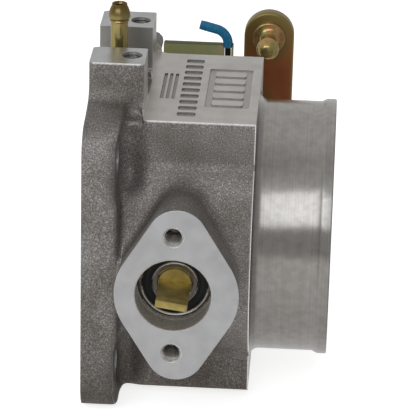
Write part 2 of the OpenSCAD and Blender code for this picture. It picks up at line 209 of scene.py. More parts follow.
def cast_aluminium(name):
    """A sandy grain and broader patches, with painted highlights on its edges and painted shade that darkens
    its lower half.
    """
    made, tree, shader, place = new_material(name)
    sand = speckle(tree, place, 0.38)
    pits = speckle(tree, place, 0.9, 3.0)
    patches = speckle(tree, place, 14)
    tones = [(0.30, "75716d"), (0.48, "918d89"), (0.60, "a8a4a0"), (0.74, "d6d2d0")]
    colour = add_node(tree, "ValToRGB", {"Fac": sand}, tones)
    shade = add_node(tree, "ValToRGB", {"Fac": patches}, [(0.3, "d2cdc8"), (0.7, "ffffff")])
    # Painted shade: the colour darkens towards the bottom, standing in for the shadow under the casting.
    height = rising(tree, place, -45, -12)
    low_painted_shade = add_node(tree, "ValToRGB", {"Fac": height}, [(0.0, "b9b4b0"), (1.0, "ffffff")])
    shade = add_node(tree, "Mix", {SHARE: 1.0, FIRST: shade, SECOND: low_painted_shade}, **TINT).outputs[MIXED]
    colour = add_node(tree, "Mix", {SHARE: 1.0, FIRST: colour, SECOND: shade}, **TINT).outputs[MIXED]
    # Painted highlight: the edges' colour is mixed towards near-white f4f3f0; their rounded normal and lower
    # roughness are real.
    edge, rounded_normal = edge_mask(tree, 0.4)
    colour = add_node(tree, "Mix", {SHARE: edge, FIRST: colour, SECOND: linear("f4f3f0")}, **MIX)
    dull = add_node(tree, "MapRange", {"Value": pits, "To Min": 0.50, "To Max": 0.68})
    rough = add_node(tree, "Mix", {"Factor": edge, "A": dull, "B": 0.22})
    dents = {"Height": pits, "Strength": 0.5, "Distance": 0.14 * MM, "Normal": rounded_normal}
    relief = add_node(tree, "Bump", dents)
    grit = {"Height": sand, "Strength": 0.7, "Distance": 0.10 * MM, "Normal": relief}
    relief = add_node(tree, "Bump", grit)
    looks = {"Base Color": colour.outputs[MIXED], "Metallic": 0.75, "Roughness": rough, "Normal": relief}
    feed(tree, shader, looks)
    return made


def milled_aluminium(name, tone, rough):
    """An even satin with faint clouds, and painted highlights on its edges."""
    made, tree, shader, place = new_material(name)
    marks = speckle(tree, place, 0.8, 4.0)
    clouds = speckle(tree, place, 7, 4.0)
    clouds = add_node(tree, "MapRange", {"Value": clouds, "From Min": 0.32, "From Max": 0.62})
    light = linear(tone)
    dark = [c * 0.84 for c in light[:3]] + [1.0]
    colour = add_node(tree, "Mix", {SHARE: clouds, FIRST: dark, SECOND: light}, **MIX).outputs[MIXED]
    # Painted highlight: the edges' colour is mixed towards near-white f6f5f2; their rounded normal is real.
    edge, rounded_normal = edge_mask(tree, 0.35)
    colour = add_node(tree, "Mix", {SHARE: edge, FIRST: colour, SECOND: linear("f6f5f2")}, **MIX)
    shine = add_node(tree, "MapRange", {"Value": marks, "To Min": rough[0], "To Max": rough[1]})
    scores = {"Height": marks, "Strength": 0.5, "Distance": 0.02 * MM, "Normal": rounded_normal}
    relief = add_node(tree, "Bump", scores)
    looks = {"Base Color": colour.outputs[MIXED], "Metallic": 0.85, "Roughness": shine, "Normal": relief}
    feed(tree, shader, looks)
    return made


def turned_aluminium(name, rough):
    """Fine tool circles round the bore's axis, which smear every highlight along it."""
    made, tree, shader, place = new_material(name)
    tracks = speckle(tree, place, 0.35, 3.0, (1, 0.004, 0.004))
    clouds = speckle(tree, place, 2.4, 4.0)
    tones = [(0.30, "aaa7a2"), (0.55, "b0ada9"), (0.75, "b6b3b0")]
    colour = add_node(tree, "ValToRGB", {"Fac": tracks}, tones)
    haze = add_node(tree, "ValToRGB", {"Fac": clouds}, [(0.34, "f1eeeb"), (0.62, "ffffff")])
    colour = add_node(tree, "Mix", {SHARE: 1.0, FIRST: colour, SECOND: haze}, **TINT)
    relief = add_node(tree, "Bump", {"Height": tracks, "Strength": 0.5, "Distance": 0.002 * MM})
    looks = {"Base Color": colour.outputs[MIXED], "Metallic": 1.0, "Roughness": rough, "Normal": relief}
    way = add_node(tree, "CombineXYZ", dict(zip("XYZ", ALONG_X)))
    feed(tree, shader, {**looks, "Anisotropic": 0.85, "Tangent": way})
    return made


def zinc_plate(name, film, film_mm, rough, metal, drift=None, rim=None):
    """Passivated yellow zinc: a thin film whose hue drifts over the part, scuffed by fine scratches.

    drift is (low height, high height, hex colour) and rim is (width, hex colour), in millimetres.
    """
    made, tree, shader, place = new_material(name)
    patches = speckle(tree, place, film_mm)
    scuffs = speckle(tree, place, 0.6, 3.0)
    colour = add_node(tree, "ValToRGB", {"Fac": patches}, film).outputs["Color"]
    shares = []
    if drift:
        shares.append((rising(tree, place, *drift[:2]), drift[2]))
    if rim:
        shares.append((edge_mask(tree, rim[0])[0], rim[1]))
    for share, other in shares:
        colours = {SHARE: share, FIRST: colour, SECOND: linear(other)}
        colour = add_node(tree, "Mix", colours, **MIX).outputs[MIXED]
    shine = add_node(tree, "MapRange", {"Value": scuffs, "To Min": rough[0], "To Max": rough[1]})
    relief = add_node(tree, "Bump", {"Height": scuffs, "Strength": 0.5, "Distance": 0.01 * MM})
    feed(tree, shader, {"Base Color": colour, "Metallic": metal, "Roughness": shine, "Normal": relief})
    return made


def fine_grained(name, tones, grain_mm, rough, metal, relief=None, detail=3.0):
    """A plain finish whose tone follows one fine grain, and so do its shine and relief if they vary.

    rough is one value or (lowest, highest); relief is (depth in millimetres, strength).
    """
    made, tree, shader, place = new_material(name)
    grain = speckle(tree, place, grain_mm, detail)
    colour = add_node(tree, "ValToRGB", {"Fac": grain}, zip((0.3, 0.7), tones))
    if isinstance(rough, tuple):
        rough = add_node(tree, "MapRange", {"Value": grain, "To Min": rough[0], "To Max": rough[1]})
    looks = {"Base Color": colour, "Metallic": metal, "Roughness": rough}
    if relief:
        depth, strength = relief
        lift = {"Height": grain, "Strength": strength, "Distance": depth * MM}
        looks["Normal"] = add_node(tree, "Bump", lift)
    feed(tree, shader, looks)
    return made


# Sand-cast and shot-blasted: a dull warm grey that sparkles like fine sand. Its grain is drawn
# coarser than the real one, which would be too fine to see.
CAST = cast_aluminium("aluminium_cast_blasted")
# Face-milled: light, even and satin, against the dark casting.
MILLED = milled_aluminium("aluminium_milled", "c4c4c5", (0.27, 0.36))
# The same cut on the top pad, a little warmer and lighter.
PAD_MILLED = milled_aluminium("aluminium_pad_milled", "cac6c0", (0.27, 0.36))
# Side-milled slot between the posts: darker and rougher.
SAWN = milled_aluminium("aluminium_side_milled", "b2b0ad", (0.34, 0.46))
# Threads that catch the light in the sensor pad, and darker ones in the posts.
TAPPED = milled_aluminium("aluminium_tapped", "d9d6d2", (0.14, 0.22))
TAPPED_POST = milled_aluminium("aluminium_tapped_post", "85827e", (0.3, 0.4))
# Painted highlights along the machined edges: hairlines that stay white from every side, so with no metal
# mirror in them.
EDGE_HIGHLIGHT = fine_grained("aluminium_edge_painted_highlight", ("dad8d5", "f6f5f3"), 0.5, (0.2, 0.4), 0.0, (0.02, 0.4))
# Lathe-turned neck with its broad bright band, and the duller bore.
TURNED = turned_aluminium("aluminium_turned", 0.27)
BORED = turned_aluminium("aluminium_bored", 0.4)
# Counterbored walls round the bearings: a broken, half-bright grey.
COUNTERBORED = fine_grained("aluminium_counterbored", ("a09b96", "d2cfcb"), 0.6, 0.45, 0.45, (0.06, 0.6))
# Etched floors of the pad's pattern: duller and darker than the milled face round them.
ETCHED = fine_grained("aluminium_etched", ("8f8c87", "a9a6a1"), 0.6, 0.45, 0.7, (0.06, 0.6))
PANEL = fine_grained("aluminium_panel_etched", ("aaa7a2", "bdbab5"), 0.6, 0.45, 0.7, (0.06, 0.6))
# Yellow passivated zinc on steel, as each part's film came out: pale gold on the nuts,
GOLD_FILM = [(0.32, "968a5a"), (0.48, "a99c68"), (0.64, "b59a66")]
GOLD_ZINC = zinc_plate("zinc_yellow_gold", GOLD_FILM, 4.0, (0.20, 0.30), 0.9)
# brighter gold on the barb, tarnished brown at its tip,
BARB_FILM = [(0.32, "9c8f58"), (0.48, "b0a268"), (0.64, "b8a06c")]
TARNISH = (BARB_HIGH[2] - 6, BARB_HIGH[2], "766038")
BARB_ZINC = zinc_plate("zinc_yellow_barb", BARB_FILM, 4.0, (0.18, 0.28), 0.9, TARNISH)
# gold with pink patches on the ball stud,
STUD_FILM = [(0.32, "a29a62"), (0.46, "bda96c"), (0.62, "bb8860"), (0.74, "b09a66")]
STUD_ZINC = zinc_plate("zinc_yellow_stud", STUD_FILM, 3.0, (0.18, 0.28), 0.9)
# brassy and satin on the shaft,
SHAFT_FILM = [(0.32, "a08e50"), (0.50, "b09e5e"), (0.68, "c0ae72")]
SHAFT_ZINC = zinc_plate("zinc_yellow_shaft", SHAFT_FILM, 3.0, (0.30, 0.42), 0.8)
# pale olive with pink clouds on the return plate, dark on its sheared top edge,
OLIVE_FILM = [(0.30, "d0ab84"), (0.45, "c2be86"), (0.58, "b2be88"), (0.72, "ccbe8f")]
SHEARED = (PLATE_HIGH[2] - 0.3, PLATE_HIGH[2], "4a4e2c")
OLIVE_ZINC = zinc_plate("zinc_yellow_olive", OLIVE_FILM, 9.0, (0.35, 0.5), 0.5, SHEARED)
# and copper-brown on the lever, turning olive towards its top and its rims.
COPPER_FILM = [(0.36, "9a7046"), (0.48, "ac6a42"), (0.64, "a4603c")]
COPPER_ZINC = zinc_plate(
    "zinc_yellow_copper", COPPER_FILM, 12.0, (0.26, 0.40), 0.7, (30, 44, "8c7a48"), (2.5, "8f7f4c")
)
# Ground bearing steel, painted dark as the dark reflection of the recess it sits in, and painted bright on
# its rims as a highlight line.
STEEL_PAINTED_DARK = fine_grained("steel_ground_painted_dark", ("5c5650", "6e6862"), 0.4, 0.32, 1.0, detail=2.0)
RIM_PAINTED_HIGHLIGHT = fine_grained("steel_rim_painted_highlight", ("dedbd7", "eeece9"), 0.4, 0.42, 1.0, detail=2.0)
# Bright zinc on the screws and washer: cold and silvery.
BRIGHT_STEEL = fine_grained("steel_bright_zinc", ("a2a3a6", "c4c5c8"), 0.5, (0.2, 0.35), 1.0, (0.005, 0.4))
# Oil-blackened spring wire: nearly black, with a brown sheen.
SPRING_WIRE = fine_grained("steel_oil_black", ("362c26", "4b3f37"), 0.5, (0.5, 0.65), 1.0, (0.005, 0.4))
# Rolled brass blade: warm, softly mottled.
BLADE_BRASS = fine_grained("brass_rolled", ("a88a4c", "c2a465"), 1.2, (0.25, 0.4), 1.0, (0.005, 0.4))
# Moulded nitrile rubber: a matt black that swallows the light in the recess.
SEAL_RUBBER = fine_grained("rubber_nitrile", ("080707", "0e0c0c"), 0.8, (0.55, 0.7), 0.0, (0.02, 0.4))
# Extruded PVC sleeve: strong blue with a soft sheen.
BLUE_SLEEVE = fine_grained("pvc_sleeve_blue", ("0f6890", "1b82b2"), 0.8, (0.5, 0.62), 0.0, (0.02, 0.4))
# Moulded nylon: off-white on the bush, tan on the bearing cages.
WHITE_NYLON = fine_grained("nylon_natural", ("cfcab8", "ddd9ca"), 0.8, (0.4, 0.55), 0.0, (0.02, 0.4))
TAN_NYLON = fine_grained("nylon_cage", ("a8946a", "bda878"), 0.8, (0.4, 0.55), 0.0, (0.02, 0.4))


# ---------------------------------------------------------------- mesh helpers


def to_object(name, mesh_data, materials):
    """Links a mesh drawn in millimetres as an object in metres."""
    mesh = bpy.data.meshes.new(name)
    mesh_data.to_mesh(mesh)
    mesh_data.free()
    return finish_object(name, mesh, materials)


def finish_object(name, mesh, materials):
    """Scales a mesh to metres and links it as an object with its materials."""
    mesh.transform(Matrix.Scale(MM, 4))
    mesh.name = name
    made = bpy.data.objects.new(name, mesh)
    bpy.context.scene.collection.objects.link(made)
    for material in materials:
        mesh.materials.append(material)
    return made


def soften(piece, angle=35):
    """Smooth shading, with edges sharper than the angle kept crisp."""
    data = bmesh.new()
    data.from_mesh(piece.data)
    for face in data.faces:
        face.smooth = True
    for edge in data.edges:
        edge.smooth = len(edge.link_faces) == 2 and edge.calc_face_angle(0) < math.radians(angle)
    data.to_mesh(piece.data)
    data.free()
    return piece


def boolean(piece, tool, operation="DIFFERENCE"):
    """Cuts or joins two closed meshes; the tool's material stays on the faces it makes."""
    step = piece.modifiers.new(operation.lower(), "BOOLEAN")
    step.operation = operation
    step.object = tool
    step.solver = "MANIFOLD"
    step.material_mode = "TRANSFER"
    view = bpy.context.evaluated_depsgraph_get()
    result = bpy.data.meshes.new_from_object(piece.evaluated_get(view))
    piece.modifiers.clear()
    old = piece.data
    piece.data = result
    bpy.data.meshes.remove(old)
    spent = tool.data
    bpy.data.objects.remove(tool)
    bpy.data.meshes.remove(spent)
    return piece


def settle(name, piece, body, node):
    """Names a finished piece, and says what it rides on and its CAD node."""
    piece.name = name
    piece.data.name = name
    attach(piece, body)
    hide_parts(node)


def along(axis, at):
    """Turns shapes drawn round +Z so that they point along the axis, from the point at."""
    turn = Vector((0, 0, 1)).rotation_difference(Vector(axis)).to_matrix().to_4x4()
    return Matrix.Translation(Vector(at)) @ turn


BORE_AXIS = along(ALONG_X, (0, 0, 0))


def rounded(points, radius, closed=True, steps=3):
    """Rounds the corners of an outline with short arcs; the two ends of an open outline stay."""
    count = len(points)
    result = []
    for i, here in enumerate(points):
        ends = not closed and i in (0, count - 1)
        before, after = Vector(points[i - 1]), Vector(points[(i + 1) % count])
        here = Vector(here)
        into, out = before - here, after - here
        reach = min(radius, into.length * 0.45, out.length * 0.45)
        if ends or radius <= 0 or reach < 1e-4 or abs(into.angle(out) - math.pi) < 0.02:
            result.append(tuple(here))
            continue
        start, end = here + into.normalized() * reach, here + out.normalized() * reach
        for k in range(steps + 1):
            t = k / steps
            result.append(tuple(start * (1 - t) ** 2 + here * 2 * t * (1 - t) + end * t * t))
    return result


def lathe(profile, place, closed=False, segments=96):
    """Solid of revolution from (distance along the axis, radius) points, as a bmesh."""
    data = bmesh.new()
    rings = []
    for a, r in profile:
        turns = [TAU * k / segments for k in range(segments if r > 1e-6 else 1)]
        rings.append([data.verts.new((r * math.cos(t), r * math.sin(t), a)) for t in turns])
    pairs = list(zip(rings, rings[1:])) + ([(rings[-1], rings[0])] if closed else [])
    for first, second in pairs:
        for k in range(segments):
            m = (k + 1) % segments
            ring = [first[k % len(first)], first[m % len(first)], second[m % len(second)]]
            corners = list(dict.fromkeys(ring + [second[k % len(second)]]))
            if len(corners) > 2:
                data.faces.new(corners)
    bmesh.ops.recalc_face_normals(data, faces=data.faces)
    data.transform(place)
    return data


def rod(radius, start, end, axis, at, segments=64):
    """Plain closed cylinder, as a bmesh."""
    return lathe([(start, 0), (start, radius), (end, radius), (end, 0)], along(axis, at), False, segments)


def block(low, high):
    """Closed box between two corners, as a bmesh."""
    data = bmesh.new()
    bmesh.ops.create_cube(data, size=1)
    centre = (Vector(low) + Vector(high)) / 2
    for vert in data.verts:
        vert.co = Vector(c * (b - a) for c, a, b in zip(vert.co, low, high)) + centre
    return data


def plate(outline, low, high, place, bevel=0.3, steps=2):
    """Outline extruded from low to high along the place's Z, with rounded rims, as a bmesh."""
    data = bmesh.new()
    bottom = [data.verts.new((x, y, low)) for x, y in outline]
    top = [data.verts.new((x, y, high)) for x, y in outline]
    data.faces.new(bottom[::-1])
    data.faces.new(top)
    count = len(outline)
    for i in range(count):
        j = (i + 1) % count
        data.faces.new((bottom[i], bottom[j], top[j], top[i]))
    bmesh.ops.recalc_face_normals(data, faces=data.faces)
    if bevel:
        rims = [e for e in data.edges if abs(e.verts[0].co.z - e.verts[1].co.z) < 1e-6]
        settings = {"segments": steps, "profile": 0.5, "affect": "EDGES", "clamp_overlap": True}
        bmesh.ops.bevel(data, geom=rims, offset=bevel, **settings)
    data.transform(place)
    return data


def arc(cx, cy, radius, start, end, steps=12):
    """Points on an arc, in degrees."""
    angles = [math.radians(start + (end - start) * k / steps) for k in range(steps + 1)]
    return [(cx + radius * math.cos(a), cy + radius * math.sin(a)) for a in angles]


def tube_mesh(points, radii, sides=24, bore=0.0):
    """Round bar through the points with a radius at each, or a tube if it has a bore, as a closed bmesh."""
    data = bmesh.new()
    points = [Vector(p) for p in points]
    turns = [TAU * k / sides for k in range(sides)]
    walls = [[], []]
    side = None
    for i, point in enumerate(points):
        ahead = (points[min(i + 1, len(points) - 1)] - points[max(i - 1, 0)]).normalized()
        if side is None:
            side = ahead.orthogonal().normalized()
        side = (side - ahead * side.dot(ahead)).normalized()
        other = ahead.cross(side)
        for wall, radius in zip(walls, (radii[i], bore)):
            if radius:
                spokes = [math.cos(t) * side + math.sin(t) * other for t in turns]
                wall.append([data.verts.new(point + radius * spoke) for spoke in spokes])
    pairs = [pair for wall in walls for pair in zip(wall, wall[1:])]
    if bore:
        pairs += [(walls[0][0], walls[1][0]), (walls[0][-1], walls[1][-1])]
    else:
        data.faces.new(walls[0][0])
        data.faces.new(walls[0][-1])
    for first, second in pairs:
        for k in range(sides):
            m = (k + 1) % sides
            data.faces.new((first[k], first[m], second[m], second[k]))
    bmesh.ops.recalc_face_normals(data, faces=data.faces)
    return data


def smooth_path(points, per_step=8):
    """Catmull-Rom curve through the points."""
    points = [Vector(p) for p in points]
    padded = [2 * points[0] - points[1]] + points + [2 * points[-1] - points[-2]]
    result = []
    for a, b, c, d in zip(padded, padded[1:], padded[2:], padded[3:]):
        square, cube = 2 * a - 5 * b + 4 * c - d, 3 * b - a - 3 * c + d
        for t in [k / per_step for k in range(per_step)]:
            result.append(0.5 * (2 * b + (c - a) * t + square * t**2 + cube * t**3))
    return result + [points[-1]]


def cut_thread(data, start, end, radius, depth, pitch):
    """Turns the outside of a rod drawn along +Z into a helical thread between start and end."""
    for vert in data.verts:
        reach = math.hypot(vert.co.x, vert.co.y)
        if start < vert.co.z < end and reach > radius - 0.02:
            turn = math.atan2(vert.co.y, vert.co.x) / TAU
            wave = abs(2 * ((vert.co.z / pitch - turn) % 1) - 1)
            fade = min(1, (vert.co.z - start) / pitch, (end - vert.co.z) / pitch)
            shrink = (radius - depth * wave * fade) / reach
            vert.co.x *= shrink
            vert.co.y *= shrink


def threaded_profile(start, end, radius, pitch):
    """Lathe points along a thread, close enough together to carry it."""
    count = int((end - start) / pitch * 6)
    return [(start + (end - start) * k / count, radius) for k in range(count + 1)]


# ---------------------------------------------------------------- the casting's skin


def extruded(flat, along_axis, low, high, edge):
    """Distance to an outline's distance field, extruded from low to high, with rounded rims."""
    middle, half = (low + high) / 2, (high - low) / 2
    a, b = flat + edge, np.abs(along_axis - middle) - half + edge
    return np.hypot(np.maximum(a, 0), np.maximum(b, 0)) + np.minimum(np.maximum(a, b), 0) - edge


def flat_box(u, v, u0, u1, v0, v1, corner):
    """Distance to a rounded rectangle."""
    a = np.abs(u - (u0 + u1) / 2) - (u1 - u0) / 2 + corner
    b = np.abs(v - (v0 + v1) / 2) - (v1 - v0) / 2 + corner
    return np.hypot(np.maximum(a, 0), np.maximum(b, 0)) + np.minimum(np.maximum(a, b), 0) - corner


def melt(a, b, width):
    """Union of two distances with a fillet about as wide as width."""
    h = np.clip(0.5 + 0.5 * (b - a) / width, 0, 1)
    return b * (1 - h) + a * h - width * h * (1 - h)


def diamond(x, z, grow):
    """Distance to the sensor pad's outline: a large circle drawn out to two small ones."""
    big, small = SENSOR_R + grow, SENSOR_END_R + grow
    px, pz = np.abs(x - SENSOR_X), np.abs(z)
    lean = (SENSOR_R - SENSOR_END_R) / SENSOR_REACH
    run = math.sqrt(1 - lean**2)
    k = -lean * px + run * pz
    side = run * px + lean * pz - big
    end = np.hypot(px, pz - SENSOR_REACH) - small
    return np.where(k < 0, np.hypot(px, pz) - big, np.where(k > run * SENSOR_REACH, end, side))


def flange_flat(y, z):
    """Distance to the flange's outline: a rounded square that rises beside the posts."""
    square = flat_box(y, z, -FLANGE_HALF, FLANGE_HALF, -FLANGE_HALF, FLANGE_HALF, 9)
    wide = np.abs(y)
    slope = np.maximum(0.237 * wide + 0.971 * z - 52.1, 0.339 * wide + 0.941 * z - 53.7)
    return melt(square, np.maximum(np.maximum(slope, 38 - z), wide - 40), 2)


def casting_field(p):
    """Signed distance to the cast skin, before any machining. Machined faces have stock left on."""
    x, y, z = p[:, 0], p[:, 1], p[:, 2]
    stock, root_z = 1.5, 30
    shoulder, post_back, post_top = SHOULDER_X + stock, POST_END + stock, POST_TOP + stock
    outline = flange_flat(y, z)
    flange = extruded(outline, x, -stock, FLANGE_THICK, 1.4)
    barrel = extruded(np.hypot(y, z) - BARREL_R, x, -stock, shoulder, 0.5)
    casing = flat_box(y, z, -BLOCK_HALF, BLOCK_HALF, BLOCK_FLOOR, PAD_Z - 0.8, 2.0)
    casing = extruded(casing, x, -stock, shoulder, 0.5)
    pad = flat_box(x, y, POST_END + 0.2, shoulder, -BLOCK_HALF, BLOCK_HALF, 0.8)
    pad = extruded(pad, z, root_z, PAD_Z + stock, 0.5)
    near_post = flat_box(x, y, -0.5, post_back, -POST_OUTER, -POST_INNER, 2.4)
    far_post = flat_box(x, y, -0.5, post_back, POST_INNER - stock, POST_OUTER, 2.4)
    posts = [extruded(post, z, root_z, post_top, 0.6) for post in (near_post, far_post)]
    posts = np.minimum(*posts)
    # Below its rim the sensor boss narrows on all sides.
    rim, narrows_by, over = 3, 2.6, 24
    taper = -narrows_by * np.clip((y - SENSOR_FACE - rim) / over, 0, 1)
    sensor = extruded(diamond(x, z, taper), y, SENSOR_FACE - stock, -18, 0.6)
    boss_r = 15.5
    boss = extruded(np.hypot(x - SHAFT_X, z) - boss_r, y, 20, BOSS_FACE, 0.8)
    lug = extruded(flat_box(x, z, LUG_X0, LUG_X1, STOP_Z - 6, STOP_Z + 6, 1.8), y, 20, 65, 1.2)
    ear = extruded(flat_box(x, z, 9, 17.25, 39.9, 46.2, 3.0), y, 26, 42, 0.8)
    body = melt(melt(barrel, casing, 1.5), pad, 0.6)
    for added, fillet in ((flange, 2), (posts, 4), (sensor, 3.5), (boss, 6), (lug, 4), (ear, 3)):
        body = melt(body, added, fillet)
    # The fillets may not swell past the flange's rim, the bosses' sides or the posts.
    envelope = np.minimum(np.minimum(outline, sensor - 5), np.minimum(boss - 5, lug - 3))
    body = np.maximum(body, np.minimum(envelope, np.minimum(posts - 2, ear)))
    # Room for a spanner behind each corner of the flange.
    beside = flat_box(np.abs(y), np.abs(z), BOLT_Y - 7, 70, BOLT_Z - 9.5, 41.5, 5)
    pocket = extruded(beside, x, FLANGE_THICK, 15.2, 2.5)
    return -melt(-body, pocket, 5)


def gradient(field, points, step=0.02):
    """Slope of a field by central differences."""
    parts = []
    for axis in range(3):
        shift = np.zeros(3)
        shift[axis] = step
        parts.append((field(points + shift) - field(points - shift)) / (2 * step))
    return np.stack(parts, 1)


def skin(field, low, high, step):
    """Closed quad mesh of the surface where the field is zero: (points, quads)."""
    axes = [np.arange(a, b + step, step) for a, b in zip(low, high)]
    grid = np.stack(np.meshgrid(*axes, indexing="ij"), -1)
    shape = grid.shape[:3]
    inside = field(grid.reshape(-1, 3)).reshape(shape) < 0
    full = sum(
        inside[i : shape[0] - 1 + i, j : shape[1] - 1 + j, k : shape[2] - 1 + k].astype(int)
        for i, j, k in np.ndindex(2, 2, 2)
    )
    cells = np.argwhere((full > 0) & (full < 8))
    number = -np.ones(full.shape, int)
    number[tuple(cells.T)] = np.arange(len(cells))
    points = np.array([a[0] for a in axes]) + (cells + 0.5) * step
    quads = []
    for axis in range(3):
        u, v = [np.eye(3, dtype=int)[k] for k in ((axis + 1) % 3, (axis + 2) % 3)]
        here = np.take(inside, range(shape[axis] - 1), axis)
        there = np.take(inside, range(1, shape[axis]), axis)
        for first, second, turn in ((here, there, 1), (there, here, -1)):
            edges = np.argwhere(first & ~second)
            ring = [number[tuple((edges - shift).T)] for shift in (0 * u, u, u + v, v)]
            quads.append(np.stack(ring[::turn], 1))
    return points, np.concatenate(quads)


def relax(points, quads, share):
    """Moves each point towards the mean of its neighbours."""
    total, count = np.zeros_like(points), np.zeros(len(points))
    for k in range(4):
        a, b = quads[:, k], quads[:, (k + 1) % 4]
        for i, j in ((a, b), (b, a)):
            np.add.at(total, i, points[j])
            np.add.at(count, i, 1)
    return points + share * (total / count[:, None] - points)


def settle_on(field, points):
    """Moves points along the slope on to the surface where the field is zero."""
    for _ in range(2):
        slope = gradient(field, points)
        points = points - (field(points) / np.maximum((slope**2).sum(1), 0.2))[:, None] * slope
    return points


def cast_blank():
    """The casting as it leaves the mould."""
    step = 0.85
    points, quads = skin(casting_field, CAST_LOW - 4, CAST_HIGH + 4, step)
    for _ in range(3):
        points = settle_on(casting_field, relax(points, quads, 0.6))
    mesh = bpy.data.meshes.new("cast_blank")
    mesh.from_pydata(points.tolist(), [], quads.tolist())
    mesh.update()
    return finish_object("cast_blank", mesh, [CAST])


# ---------------------------------------------------------------- machining the casting


def cutter(data, material):
    """A tool for boolean(), which leaves its material on the faces it cuts."""
    return to_object("cutter", data, [material])


def neck_solid():
    """The turned hose neck, from inside the barrel to its beaded end."""
    end, root, core_r, fillet_r = BODY_LENGTH, SHOULDER_X - 0.02, 30, 2.6
    fillet = [(root + fillet_r - a, NECK_R + fillet_r - b) for b, a in arc(0, 0, fillet_r, 90, 0, 8)]
    bead = [(end - BEAD_WIDTH - 1.5, NECK_R), (end - BEAD_WIDTH, BEAD_R), (end, BEAD_R), (end, core_r)]
    profile = [(40, core_r), (40, NECK_R - 1), (root, NECK_R - 1), (root, NECK_R + fillet_r)]
    profile += fillet[1:] + rounded(bead, 0.5, False)
    return lathe(profile, BORE_AXIS, True, 192)


def tapped(depth, axis, at):
    """Cutter for an M6 tapped hole: chamfered mouth, threaded wall, drilled end."""
    tap_r, pitch, crest, groove = 2.5, 1.0, 0.04, 0.44
    profile = [(1, 0), (1, tap_r + 0.65), (0, tap_r + 0.6), (-0.6, tap_r)]
    for k in range(int((depth - 2) / pitch)):
        z = -0.7 - k * pitch
        profile += [(z, tap_r - crest), (z - pitch / 2, tap_r + groove)]
    profile += [(-depth, tap_r - crest), (-depth - 1.2, 0)]
    return lathe(profile, along(axis, at), False, 48)


def highlight_lines():
    """The machined edges painted with white highlight lines: (points along the edge, half width)."""
    front, shoulder, top = -BLOCK_HALF, SHOULDER_X, PAD_Z
    swing = [math.radians(a) for a in range(-44, 45, 2)]
    return [
        ([(shoulder, -BARREL_R * math.cos(a), BARREL_R * math.sin(a)) for a in swing], 0.3),
        ([(shoulder, front, 31), (shoulder, front, top + 1)], 0.3),
        ([(shoulder, front, BLOCK_FLOOR - 1), (shoulder, front, -31)], 0.3),
        ([(POST_END + 1.5, front, top), (shoulder + 1, front, top)], 0.45),
        ([(1, -POST_OUTER, POST_TOP), (POST_END - 1, -POST_OUTER, POST_TOP)], 0.4),
    ]


def bearing_recess(side, face, deep):
    """Cutter for a bearing seat that lies deep below its face, with the shaft's clearance hole."""
    clear_r, lip_r, top = SHAFT_R + 0.3, 10, face + 0.3
    inner = face - deep - BEARING_WIDTH
    shelf = inner + BEARING_WIDTH
    profile = [(30, 0), (30, clear_r), (inner - 0.5, clear_r), (inner - 0.5, lip_r), (inner, lip_r)]
    profile += [(inner, BEARING_R), (shelf + 0.4, BEARING_R)]
    if deep:
        groove_r = BEARING_R + 0.25
        profile += [(shelf + 0.8, groove_r), (shelf + 2.3, groove_r), (shelf + 2.6, BEARING_R)]
    profile += [(face - 0.2, BEARING_R), (top, BEARING_R + 0.5), (top, 0)]
    return lathe(profile, along((0, side, 0), (SHAFT_X, 0, 0)), False, 128)


